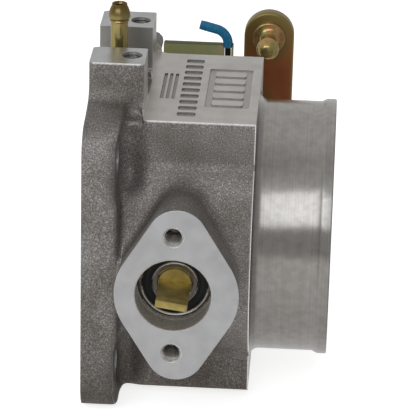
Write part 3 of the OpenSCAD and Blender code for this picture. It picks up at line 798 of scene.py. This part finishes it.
def machine(piece):
    """Every machined face, hole and bore, in the order a machinist would cut them."""
    far = 200
    bolt_r, seat_r, boss_seat_r, stop_r, barb_r, air_r, anchor_r = 4.3, 6.3, 14.2, 2.6, 2.45, 1.5, 1.12

    def cut(data, material):
        """Takes a tool's shape out of the casting, and leaves its material on the cut."""
        boolean(piece, cutter(data, material))

    cut(block((SHOULDER_X, -far, -far), (far, far, far)), MILLED)
    boolean(piece, cutter(neck_solid(), TURNED), "UNION")
    cut(block((-far, -far, -far), (0, far, far)), MILLED)
    cut(block((-far, -far, POST_TOP), (far, far, far)), MILLED)
    cut(block((POST_END, -33, PAD_Z), (SHOULDER_X + 1, 31, far)), PAD_MILLED)
    # Painted highlights: white hairlines cut into the machined edges.
    for line, half_width in highlight_lines():
        cut(tube_mesh(line, [half_width] * len(line), 4), EDGE_HIGHLIGHT)
    cut(block((-5, -POST_INNER + 1, SLOT_FLOOR), (POST_END + 1, POST_INNER, far)), SAWN)
    cut(block((-far, -far, -far), (far, SENSOR_FACE, far)), MILLED)
    cut(rod(boss_seat_r, BOSS_FACE - 0.3, far, ALONG_Y, (SHAFT_X, 0, 0), 96), MILLED)
    mouth = BODY_LENGTH + 0.5
    bore = [(-1, 0), (-1, BORE_R), (BODY_LENGTH - 1.2, BORE_R), (mouth, BORE_R + 1.2), (mouth, 0)]
    cut(lathe(bore, BORE_AXIS, False, 192), BORED)
    cut(bearing_recess(-1, -SENSOR_FACE, RECESS_DEEP), COUNTERBORED)
    cut(bearing_recess(1, BOSS_FACE, 0), COUNTERBORED)
    seat = FLANGE_THICK - 0.6
    hole = [(-1, 0), (-1, bolt_r + 0.3), (0, bolt_r + 0.3), (0.3, bolt_r), (seat + 2, bolt_r), (seat + 2, 0)]
    for sy, sz in ((-1, -1), (-1, 1), (1, -1), (1, 1)):
        at = (0, sy * BOLT_Y, sz * BOLT_Z)
        cut(rod(seat_r, seat, seat + 1.5, ALONG_X, at), CAST)
        cut(lathe(hole, along(ALONG_X, at), False, 64), MILLED)
    for sign in (-1, 1):
        cut(tapped(14, ALONG_Z, (POST_HOLE_X, sign * POST_HOLE_Y, POST_TOP)), TAPPED_POST)
        cut(tapped(12, (0, -1, 0), (SENSOR_HOLE_X, SENSOR_FACE, sign * SENSOR_HOLE_Z)), TAPPED)
    barb_hole = [(33, 0), (33, air_r), (36, air_r), (36, barb_r), (50, barb_r), (50, 0)]
    cut(lathe(barb_hole, along(ALONG_Z, BARB_AT)), MILLED)
    cut(rod(stop_r, LUG_X0 - 5, LUG_X1 + 5, ALONG_X, (0, STOP_Y, STOP_Z), 48), MILLED)
    cut(rod(anchor_r, BOSS_FACE - 5, BOSS_FACE + 1, ALONG_Y, (SPRING_LOW[0] + 1, 0, 10), 32), MILLED)
    for tool in pad_pattern():
        boolean(piece, tool)


def rounded_box(x0, x1, y0, y1, corner):
    """Outline of a rounded rectangle."""
    left, right, low, high = x0 + corner, x1 - corner, y0 + corner, y1 - corner
    corners = ((right, high, 0), (left, high, 90), (left, low, 180), (right, low, 270))
    return [point for x, y, start in corners for point in arc(x, y, corner, start, start + 90, 4)]


def sunk(x0, x1, y0, y1, corner, material, deep=0.45):
    """Cutter for a shallow recess in the top pad."""
    outline = rounded_box(x0, x1, y0, y1, corner)
    return cutter(plate(outline, PAD_Z - deep, PAD_Z + 1, Matrix.Identity(4), 0), material)


def pad_pattern():
    """Plain pattern in the top pad: a sunk panel with raised bars, a column of slots and three lines."""
    panel = sunk(33.4, 46.6, -16.5, 17.0, 0.8, PANEL)
    for low in [-14.2 + 6.2 * k for k in range(5)]:
        boolean(panel, sunk(35.4, 44.6, low, low + 4, 0.7, PANEL, 1))
    yield panel
    for low in [-24.6 + 5.1 * k for k in range(10)]:
        yield sunk(25.8, 31.2, low, low + 3.3, 0.8, ETCHED)
    for left in [19.8 + 1.7 * k for k in range(3)]:
        yield sunk(left, left + 1, -10.5, 11.5, 0.4, ETCHED)


def body_casting():
    """The aluminium casting, machined and deburred."""
    piece = cast_blank()
    machine(piece)
    soften(piece, 30)
    settle("body_casting_skin", piece, HOUSING, "body_casting")


# ---------------------------------------------------------------- barb and bearings


def closed_tube(outside, bore, axis, at, rounding=0.15, segments=72):
    """Ring or tube from its outer profile and its bore radius."""
    profile = rounded(outside, rounding, False)
    ends = [(outside[-1][0], bore), (outside[0][0], bore)]
    return lathe(profile + ends, along(axis, at), True, segments)


def vacuum_barb():
    """Turned steel hose barb: plain tube, a fine ring, then a barrel-shaped head."""
    top, tube, head = BARB_HIGH[2], 2.55, BARB_HIGH[0] - BARB_AT[0]
    profile = [(36.5, 1.5), (36.5, 2.38), (SLOT_FLOOR, 2.38), (SLOT_FLOOR, tube), (top - 5.6, tube)]
    ring = [(5.45, 2.85), (5.15, 2.98), (4.9, 2.85), (4.8, 2.65), (4.65, 2.9)]
    barrel = [(4.2, head - 0.05), (3.5, head), (2.6, head - 0.12), (1.5, head - 0.5), (0.6, head - 0.95)]
    mouth = [(0.1, 2.3), (0, 2.15), (0.1, 1.9), (0.8, 1.5)]
    profile += [(top - below, radius) for below, radius in ring + barrel + mouth]
    piece = to_object("barb", lathe(profile, along(ALONG_Z, BARB_AT), True, 72), [BARB_ZINC])
    settle("vacuum_barb_turned", soften(piece, 28), HOUSING, "vacuum_barb")


def ground_ring(data):
    """Bearing ring: flats painted dark as a dark reflection, and rims painted bright as a highlight where
    the surface slants.
    """
    for face in data.faces:
        face.material_index = int(0.1 < abs(face.normal.y) < 0.97)
    return to_object("ring", data, [STEEL_PAINTED_DARK, RIM_PAINTED_HIGHLIGHT])


def bearings():
    """Two sealed ball bearings: ground rings with rounded rims, and dished rubber seals."""
    half, outside = BEARING_WIDTH / 2, BEARING_R - 0.01
    outer_land, inner_land, pitch_r = 9.5, 6.6, 8
    race = [(1.9 * math.cos(a), 1.95 * math.sin(a)) for a in np.linspace(math.pi, 0, 9)]
    outer = [(0.4 - half, outer_land), (-half, 9.85), (-half, outside)]
    outer += [(half, outside), (half, 9.85), (half - 0.4, outer_land)]
    outer = rounded(outer, 0.4, False)
    outer += [(a, pitch_r + r) for a, r in race[::-1] if pitch_r + r > outer_land]
    inner = [(half - 0.2, 6.75), (half, 6.5), (half, 5.0), (-half, 5.0), (-half, 6.5), (0.2 - half, 6.75)]
    inner = rounded(inner, 0.3, False) + [(a, pitch_r - r) for a, r in race if pitch_r - r < inner_land]
    for name, low, high in (("near", NEAR_LOW, NEAR_HIGH), ("far", FAR_LOW, FAR_HIGH)):
        place = along(ALONG_Y, (SHAFT_X, (low[1] + high[1]) / 2, 0))
        for part, profile, body in (("outer", outer, HOUSING), ("inner", inner, SHAFT)):
            piece = ground_ring(lathe(profile, place, True, 96))
            node = f"{name}_bearing_{part}_ring"
            settle(node + "_ground", soften(piece), body, node)
        data = bmesh.new()
        for face in (-1, 1):
            y, lip = face * (half - 0.5), face * 0.22
            dish = [(y - lip, 6.85), (y + face * 0.2, 6.85), (y + lip, 7.2), (y, 7.5)]
            dish += [(y, 8.8), (y + lip, 9.05), (y + lip, 9.46), (y - lip, 9.46)]
            ring = lathe(dish, place, True, 96)
            spare = bpy.data.meshes.new("spare")
            ring.to_mesh(spare)
            ring.free()
            data.from_mesh(spare)
            bpy.data.meshes.remove(spare)
        node = name + "_bearing_seals"
        piece = to_object("seals", data, [SEAL_RUBBER])
        settle(node + "_moulded", soften(piece), HOUSING, node)
        # The balls take the same painted-dark steel.
        for part, material in (("balls", STEEL_PAINTED_DARK), ("cage", TAN_NYLON)):
            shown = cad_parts[f"{name}_bearing_{part}"]
            shown.data.materials.clear()
            shown.data.materials.append(material)


# ---------------------------------------------------------------- shaft, blade, screws


def throttle_shaft():
    """Plated steel shaft: rolled sensor tang, slot for the blade, two flats and a rolled thread."""
    near, far, shoulder = -48.0, SHAFT_HIGH[1], BUSH_HIGH[1]
    thread_from, thread_r, thread_depth, pitch = LEVER_HIGH[1], 3.8, 0.55, 1.25
    profile = rounded([(near, 0), (near, SHAFT_R), (shoulder, SHAFT_R)], 0.5, False)
    profile += [(thread_from - 1, SHAFT_R), (thread_from, thread_r)]
    profile += threaded_profile(thread_from + 0.1, far - 0.6, thread_r, pitch) + [(far, 3.2), (far, 0)]
    data = lathe(profile, Matrix.Identity(4), False, 96)
    cut_thread(data, thread_from + 0.2, far - 0.7, thread_r, thread_depth, pitch)
    data.transform(along(ALONG_Y, (SHAFT_X, 0, 0)))
    piece = to_object("shaft", data, [SHAFT_ZINC])
    for low, high in ((-9, -3.8), (3.8, 9)):
        tool = block((SHAFT_X + low, shoulder, -9), (SHAFT_X + high, thread_from - 0.01, 9))
        boolean(piece, cutter(tool, SHAFT_ZINC))
    half = (BLADE_HIGH[0] - BLADE_LOW[0]) / 2 + 0.05
    slot = block((SHAFT_X - half, -BORE_R - 0.3, -9), (SHAFT_X + half, BORE_R + 0.3, 9))
    boolean(piece, cutter(slot, SHAFT_ZINC))
    hole = [(-9, 0), (-9, SCREW_HOLE_R), (3.2, SCREW_HOLE_R), (3.2, 3.9), (9, 3.9), (9, 0)]
    for y in SCREW_Y:
        boolean(piece, cutter(lathe(hole, along(ALONG_X, (SHAFT_X, y, 0)), False, 48), SHAFT_ZINC))
    wide, thick, rolled = 4.65, 1.1, math.radians(8)
    outline = [(-wide, SHAFT_LOW[1]), (wide, SHAFT_LOW[1]), (wide, near + 1), (-wide, near + 1)]
    roll = Matrix.Translation((SHAFT_X, 0, 0)) @ Matrix.Rotation(rolled, 4, "Y")
    tang = plate(rounded(outline, 0.5), -thick, thick, roll, 0.18, 2)
    boolean(piece, to_object("tang", tang, [SHAFT_ZINC]), "UNION")
    settle("throttle_shaft_plated", soften(piece, 32), SHAFT, "throttle_shaft")


def throttle_blade():
    """Rolled brass disc with a rounded rim, drilled for its two screws."""
    low, high = BLADE_LOW[0], BLADE_HIGH[0]
    profile = rounded([(low, 0), (low, BLADE_R), (high, BLADE_R), (high, 0)], 0.4, False)
    piece = to_object("blade", lathe(profile, BORE_AXIS, False, 192), [BLADE_BRASS])
    for y in SCREW_Y:
        boolean(piece, cutter(rod(SCREW_HOLE_R, 0, 60, ALONG_X, (0, y, 0), 48), BLADE_BRASS))
    settle("throttle_blade_rolled", soften(piece), SHAFT, "throttle_blade")


def blade_screws():
    """Two pan-head screws with a cross recess."""
    low, high, seat, shank_r = SCREWS_LOW[0], SCREWS_HIGH[0], SHAFT_X + 3.25, 2.0
    profile = [(low, 0), (low, shank_r), (seat, shank_r), (seat, 3.7), (high, 3.5), (high, 0)]
    profile = rounded(profile, 0.45, False)
    made = []
    for y in SCREW_Y:
        screw = to_object("screw", lathe(profile, along(ALONG_X, (0, y, 0)), False, 48), [BRIGHT_STEEL])
        for wide, tall in ((0.5, 1.9), (1.9, 0.5)):
            recess = block((high - 1.1, y - wide, -tall), (high + 1, y + wide, tall))
            boolean(screw, cutter(recess, BRIGHT_STEEL))
        made.append(screw)
    piece = boolean(*made, "UNION")
    settle("blade_screws_pan_head", soften(piece), SHAFT, "blade_screws")


# ---------------------------------------------------------------- linkage


def shaft_plane(y):
    """Puts outlines drawn as (x, z) in the plane y, extruded towards +Y."""
    return Matrix(((1, 0, 0, 0), (0, 0, 1, y), (0, 1, 0, 0), (0, 0, 0, 1)))


def flats_cutter(low, high):
    """Cutter for the hole that fits the shaft's two flats."""
    reach = math.degrees(math.acos(FLATS_HALF / SHAFT_HOLE_R))
    upper = arc(SHAFT_X, 0, SHAFT_HOLE_R, reach, 180 - reach)
    lower = arc(SHAFT_X, 0, SHAFT_HOLE_R, 180 + reach, 360 - reach)
    return plate(upper + lower, low, high, shaft_plane(0), 0)


def spring_bush():
    """Moulded nylon bush inside the spring, with a thin flange against the bearing."""
    low, high, rim_r, tube_r = BUSH_LOW[1], BUSH_HIGH[1], 9.2, 6.8
    profile = [(low, rim_r), (low + 0.4, rim_r), (low + 0.4, tube_r), (high, tube_r)]
    data = closed_tube(profile, SHAFT_HOLE_R, ALONG_Y, (SHAFT_X, 0, 0))
    piece = to_object("bush", data, [WHITE_NYLON])
    settle("spring_bush_moulded", soften(piece), SHAFT, "spring_bush")


def return_plate():
    """Stamped and plated steel: notched bar that carries the spring, stop tail and wide-open ear."""
    low, high = PLATE_LOW[1], PLATE_HIGH[1]
    left, right, bottom, top = 16, 38.5, 21, PLATE_HIGH[2]
    notch_left, notch_right, notch_floor, step, step_z = 35.6, 37.8, 24.2, 0.35, 35.2
    bar = [(left, bottom), (right, bottom), (right, top), (notch_right + step, top)]
    bar += [(notch_right + step, step_z), (notch_right, step_z), (notch_right, notch_floor)]
    bar += [(notch_left, notch_floor), (notch_left, step_z), (notch_left - step, step_z)]
    bar += [(notch_left - step, top), (left, top)]
    neck = [(right - 5, bottom + 1), (left + 2, bottom + 1), (SHAFT_X - 9, 4), (SHAFT_X + 9, 4)]
    tail_left, tail_right, tail_end = 20.85, 30.85, PLATE_LOW[2]
    tail = [(tail_left, tail_end), (tail_right, tail_end), (tail_right, 0), (tail_left, 0)]
    # The ear is drawn where it meets the lug, and turned back to where it is with the blade closed.
    lug_top, open_angle = STOP_Z + 6.3, 85
    ear = [(LUG_X0 - SHAFT_X, lug_top), (LUG_X1 - SHAFT_X, lug_top), (-1, -8), (-12, -2)]
    turn = Matrix.Rotation(math.radians(-open_angle), 2)
    ear = [tuple(turn @ Vector(p) + Vector((SHAFT_X, 0))) for p in ear]
    hub = plate(arc(SHAFT_X, 0, 12, 0, 350, 70), low, high, shaft_plane(0), 0)
    piece = to_object("plate", hub, [OLIVE_ZINC])
    for number, outline in enumerate((rounded(bar, 0.5), neck, rounded(tail, 0.8), rounded(ear, 0.8)), 1):
        # Faces in one plane would spoil the union, so each arm is a hair thinner than the last.
        skim = 0.01 * number
        arm = plate(outline, low + skim, high - skim, shaft_plane(0), 0)
        boolean(piece, to_object("arm", arm, [OLIVE_ZINC]), "UNION")
    boolean(piece, cutter(flats_cutter(low - 1, high + 1), OLIVE_ZINC))
    settle("return_plate_stamped", soften(piece), SHAFT, "return_plate")


def throttle_lever():
    """Thick stamped lever with rounded rims, plated in a copper tone that turns olive at its edges."""
    low, high = LEVER_LOW[1], LEVER_HIGH[1]
    hub, tip, knee_z = 12, LEVER_HIGH[0] - STUD_X, 6
    reach = math.hypot(STUD_X - SHAFT_X, knee_z)
    lean = math.degrees(math.atan2(knee_z, STUD_X - SHAFT_X))
    opening = math.degrees(math.acos((hub - tip) / reach))
    upper, lower = lean + opening, lean - opening
    start = Vector(arc(SHAFT_X, 0, hub, upper, upper, 1)[0])
    end = Vector(arc(STUD_X, knee_z, tip, upper, upper, 1)[0])
    inner_x = STUD_X - tip
    inner_z = start.y + (end.y - start.y) * (inner_x - start.x) / (end.x - start.x)
    crook = [(inner_x, inner_z + 9), (inner_x, inner_z), (inner_x - 9, inner_z - 0.8)]
    outline = arc(STUD_X, STUD_Z, tip, 0, 180, 32) + rounded(crook, 5, False, 8)
    outline += arc(SHAFT_X, 0, hub, upper, 360 + lower, 48) + arc(STUD_X, knee_z, tip, lower, 0, 12)
    piece = to_object("lever", plate(outline, low, high, shaft_plane(0), 0.7, 4), [COPPER_ZINC])
    boolean(piece, cutter(flats_cutter(low - 1, high + 1), COPPER_ZINC))
    rivet_hole = rod(2.55, low - 1, high + 1, ALONG_Y, (STUD_X, 0, STUD_Z), 48)
    boolean(piece, cutter(rivet_hole, COPPER_ZINC))
    settle("throttle_lever_stamped", soften(piece), SHAFT, "throttle_lever")


def cable_ball_stud():
    """Turned stud: ball with a faced tip, waist, collar, and a riveted end behind the lever."""
    tip, face, back, end = STUD_LOW[1], LEVER_LOW[1], LEVER_HIGH[1], STUD_HIGH[1]
    ball, faced, root, collar_r = 3.6, 3.2, 2.5, 5.15
    centre, under = tip + faced, face - 2
    first = math.degrees(math.acos(-faced / ball))
    swing = [math.radians(a) for a in np.linspace(first, 30, 18)]
    curve = [(centre + ball * math.cos(a), ball * math.sin(a)) for a in swing]
    waist = [curve[-1], (centre + 4.2, 1.9), (face - 4.2, 1.9), (face - 2.6, root), (under, 3.6)]
    collar = [(under, 3.6), (under, collar_r), (face, collar_r), (face, root)]
    tail = [(back, root), (back, 3.6), (end, 2.8), (end, 0)]
    profile = [(tip, 0)] + curve + rounded(waist, 0.6, False)[1:] + rounded(collar, 0.4, False)[1:]
    data = lathe(profile + rounded(tail, 0.4, False), along(ALONG_Y, (STUD_X, 0, STUD_Z)), False, 72)
    piece = to_object("stud", data, [STUD_ZINC])
    settle("cable_ball_stud_turned", soften(piece), SHAFT, "cable_ball_stud")


def hexagon_nut(low, high, across, axis, at, hole, material):
    """Hexagon nut with chamfered corners and a chamfered hole."""
    flat_r, corner_r = across / 2, across / 2 / math.cos(math.pi / 6)
    corners = [(corner_r * math.cos(k * TAU / 6), corner_r * math.sin(k * TAU / 6)) for k in range(6)]
    piece = to_object("nut", plate(corners, low, high, along(axis, at), 0), [material])
    fall = (corner_r - flat_r) * 0.6
    cone = [(low - 1, 0), (low - 1, flat_r - 1.4), (low, flat_r), (low + fall, corner_r)]
    cone += [(high - fall, corner_r), (high, flat_r), (high + 1, flat_r - 1.4), (high + 1, 0)]
    boolean(piece, cutter(lathe(cone, along(axis, at), False, 72), material), "INTERSECT")
    bore = [(low - 1, 0), (low - 1, hole + 1.2), (low + 0.4, hole)]
    bore += [(high - 0.4, hole), (high + 1, hole + 1.2), (high + 1, 0)]
    return boolean(piece, cutter(lathe(bore, along(axis, at), False, 48), material))


def lever_fixings():
    """Split spring washer and hexagon nut on the shaft's thread."""
    at, low, high = (SHAFT_X, 0, 0), WASHER_LOW[1], WASHER_HIGH[1]
    data = closed_tube([(low, 7.2), (high, 7.2)], 4.2, ALONG_Y, at, 0.2)
    piece = to_object("washer", data, [BRIGHT_STEEL])
    gap = block((3, -0.35, -6), (9, 0.35, 6))
    where, steep = math.radians(60), math.radians(70)
    gap.transform(Matrix.Rotation(where, 4, "Y") @ Matrix.Rotation(steep, 4, "X"))
    gap.transform(Matrix.Translation((SHAFT_X, (low + high) / 2, 0)))
    boolean(piece, cutter(gap, BRIGHT_STEEL))
    settle("lock_washer_split", soften(piece), SHAFT, "lock_washer")
    nut = hexagon_nut(NUT_LOW[1], NUT_HIGH[1], 13, ALONG_Y, at, FLATS_HALF, GOLD_ZINC)
    settle("lever_nut_hexagon", soften(nut), SHAFT, "lever_nut")


# ---------------------------------------------------------------- spring and idle stop


def bent_end(back):
    """The spring's end: straight up through the notch, round a bend, then away from the lever.

    It ends short of the sleeve's end by back.
    """
    bend_z, bend_r, bend, tail = 36.5, 5.0, 76, 5.5 - back
    swing = [math.radians(a) for a in np.linspace(0, bend, 14)]
    centre_x, way = LEG_X - bend_r, swing[-1]
    points = [(centre_x + bend_r * math.cos(a), STOP_Y, bend_z + bend_r * math.sin(a)) for a in swing]
    x, _, z = points[-1]
    run = [t * tail for t in (0.25, 0.5, 0.75, 1)]
    return points + [(x - d * math.sin(way), STOP_Y, z + d * math.cos(way)) for d in run]


def return_spring():
    """Oil-blackened spring wire: leg anchored in the casting, three and a half turns, leg on the plate."""
    wire_r, coil_r, start_y, pitch, turns, per_turn = 0.98, 8.8, 49.2, 2.17, 3.5, 48
    end_y, left, right = start_y + pitch * turns, SHAFT_X - coil_r, SHAFT_X + coil_r
    fixed_leg = [(left, BOSS_FACE - 4, 10), (left, start_y - 2.4, 10), (left, start_y - 0.9, 9.8)]
    fixed_leg += [(left, start_y - 0.15, 9.0), (left, start_y, 7.5), (left, start_y, 4)]
    coil = []
    for k in range(int(turns * per_turn) + 1):
        a = math.pi + TAU * k / per_turn
        y = start_y + pitch * k / per_turn
        coil.append((SHAFT_X + coil_r * math.cos(a), y, coil_r * math.sin(a)))
    moving_leg = [(right, end_y, z) for z in (6, 12, 18, 23)] + [(right + 0.05, end_y + 0.9, 25.3)]
    moving_leg += [(right + 0.1, STOP_Y - 0.6, 28.9), (LEG_X, STOP_Y, 32), (LEG_X, STOP_Y, 34.5)]
    path = smooth_path(fixed_leg, 4) + coil[:-1] + smooth_path([coil[-1]] + moving_leg, 5) + bent_end(0.6)
    piece = to_object("spring", tube_mesh(path, [wire_r] * len(path), 16), [SPRING_WIRE])
    piece.name = "return_spring_wire"
    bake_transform(piece)
    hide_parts("return_spring")
    soften(piece, 40)


def spring_sleeve():
    """Soft blue sleeve slid over the spring's bent end."""
    path = [(LEG_X, STOP_Y, z) for z in (35.4, 35.6, 35.9, 36.2)] + bent_end(0.02)
    outside = [1.28, 1.4, 1.4, 1.45] + [1.55] * (len(path) - 5) + [1.45]
    data = tube_mesh(path, outside, 24, 1.07)
    piece = to_object("sleeve", data, [BLUE_SLEEVE])
    settle("spring_sleeve_soft", soften(piece, 50), SHAFT, "spring_sleeve")


def idle_stop():
    """Slotted screw with a rolled thread, and its locknut against the lug."""
    low, high, at = STOP_LOW[0], STOP_HIGH[0], (0, STOP_Y, STOP_Z)
    radius, depth, pitch, head_r, under = 2.45, 0.4, 0.8, 3.6, low + 3
    profile = rounded([(low, 0), (low, head_r), (under, head_r), (under, radius)], 0.4, False)
    profile += threaded_profile(under + 0.2, high - 0.8, radius, pitch)
    profile += [(high - 0.5, 2.0), (high, 1.6), (high, 0)]
    data = lathe(profile, Matrix.Identity(4), False, 64)
    cut_thread(data, under + 0.3, high - 0.9, radius, depth, pitch)
    data.transform(along(ALONG_X, at))
    piece = to_object("screw", data, [BRIGHT_STEEL])
    slot = block((low - 1, STOP_Y - 5, STOP_Z - 0.55), (low + 1.2, STOP_Y + 5, STOP_Z + 0.55))
    boolean(piece, cutter(slot, BRIGHT_STEEL))
    settle("idle_stop_screw_slotted", soften(piece), HOUSING, "idle_stop_screw")
    nut = hexagon_nut(LOCK_LOW[0], LOCK_HIGH[0], 8, ALONG_X, at, radius + 0.05, GOLD_ZINC)
    settle("idle_stop_locknut_hexagon", soften(nut), HOUSING, "idle_stop_locknut")


# ---------------------------------------------------------------- camera, light, floor


def camera():
    """Long lens from the sensor side, a little above the shaft."""
    right, up = Vector((0.99803, 0.05821, 0.02327)), Vector((-0.04407, 0.38737, 0.92087))
    at = Vector((0.070035, -0.73376, 0.314577))
    data = bpy.data.cameras.new("camera")
    data.sensor_width = 36
    data.lens = 225.7
    data.clip_start, data.clip_end = 0.01, 100
    made = bpy.data.objects.new("camera", data)
    rows = [[*parts] for parts in zip(right, up, right.cross(up), at)]
    made.matrix_world = Matrix(rows + [[0, 0, 0, 1]])
    bpy.context.scene.collection.objects.link(made)
    bpy.context.scene.camera = made


def softbox(name, at, aim, size, power):
    """Rectangular studio light that points at aim; its light is slightly cool."""
    data = bpy.data.lights.new(name, "AREA")
    data.shape = "RECTANGLE"
    data.size, data.size_y = size
    data.energy = power
    data.color = (0.92, 0.96, 1.0)
    made = bpy.data.objects.new(name, data)
    made.location = at
    made.rotation_euler = (Vector(aim) - Vector(at)).to_track_quat("-Z", "Y").to_euler()
    bpy.context.scene.collection.objects.link(made)


def paper_floor():
    """White paper just under the casting, lit from within so that it stays white."""
    made, tree, shader, _ = new_material("paper_white")
    paper = {"Base Color": linear("fbfbfb"), "Roughness": 0.9}
    feed(tree, shader, {**paper, "Emission Color": grey(1), "Emission Strength": 0.72})
    size_mm, gap_mm = 6000, 0.5
    data = bmesh.new()
    bmesh.ops.create_grid(data, x_segments=1, y_segments=1, size=size_mm)
    bmesh.ops.translate(data, verts=data.verts, vec=(0, 0, CAST_LOW[2] - gap_mm))
    floor = to_object("floor", data, [made])
    floor.visible_glossy = False


def surround():
    """What the metal mirrors: pale bands from floor to ceiling in front, plain walls behind and aside."""
    world = bpy.data.worlds.new("studio")
    bpy.context.scene.world = world
    world.use_nodes = True
    tree = world.node_tree
    tree.nodes.clear()
    place = add_node(tree, "TexCoord").outputs["Generated"]
    parts = add_node(tree, "SeparateXYZ", {"Vector": place}).outputs
    level = add_node(tree, "MapRange", {"Value": parts["Z"], "From Min": -1.0, "From Max": 1.0})
    bands = [(0.0, 0.55), (0.2, 0.68), (0.425, 0.78), (0.445, 0.39), (0.66, 0.37)]
    bands += [(0.68, 0.50), (0.87, 0.50), (0.93, 0.64), (0.97, 0.46), (1.0, 0.44)]
    bands = [(where, grey(shade)) for where, shade in bands]
    colour = add_node(tree, "ValToRGB", {"Fac": level}, bands).outputs["Color"]
    behind = add_node(tree, "MapRange", {"Value": parts["Y"], "From Min": -0.1, "From Max": 0.3})
    aside = add_node(tree, "MapRange", {"Value": parts["X"], "From Min": 0.15, "From Max": 0.6})
    seen = add_node(tree, "LightPath").outputs["Is Camera Ray"]
    for share, shade in ((behind, 0.62), (aside, 0.34), (seen, 1)):
        colours = {SHARE: share, FIRST: colour, SECOND: grey(shade)}
        colour = add_node(tree, "Mix", colours, **MIX).outputs[MIXED]
    light = add_node(tree, "Background", {"Color": colour, "Strength": 1.0})
    add_node(tree, "OutputWorld", {"Surface": light})


def studio():
    """White floor, pale surround, and one soft box in front, above and a little to the left."""
    paper_floor()
    surround()
    middle = Vector((0.035, 0.0, 0.0))
    turn, lift, reach = math.radians(-18), math.radians(36), 1.2
    way = Vector((math.sin(turn) * math.cos(lift), -math.cos(turn) * math.cos(lift), math.sin(lift)))
    softbox("front_box", middle + way * reach, middle, (1.1, 0.66), 3.7)
    bpy.context.scene.view_settings.view_transform = "Standard"


camera()
studio()
body_casting()
vacuum_barb()
bearings()
throttle_shaft()
throttle_blade()
blade_screws()
spring_bush()
return_plate()
throttle_lever()
cable_ball_stud()
lever_fixings()
return_spring()
spring_sleeve()
idle_stop()
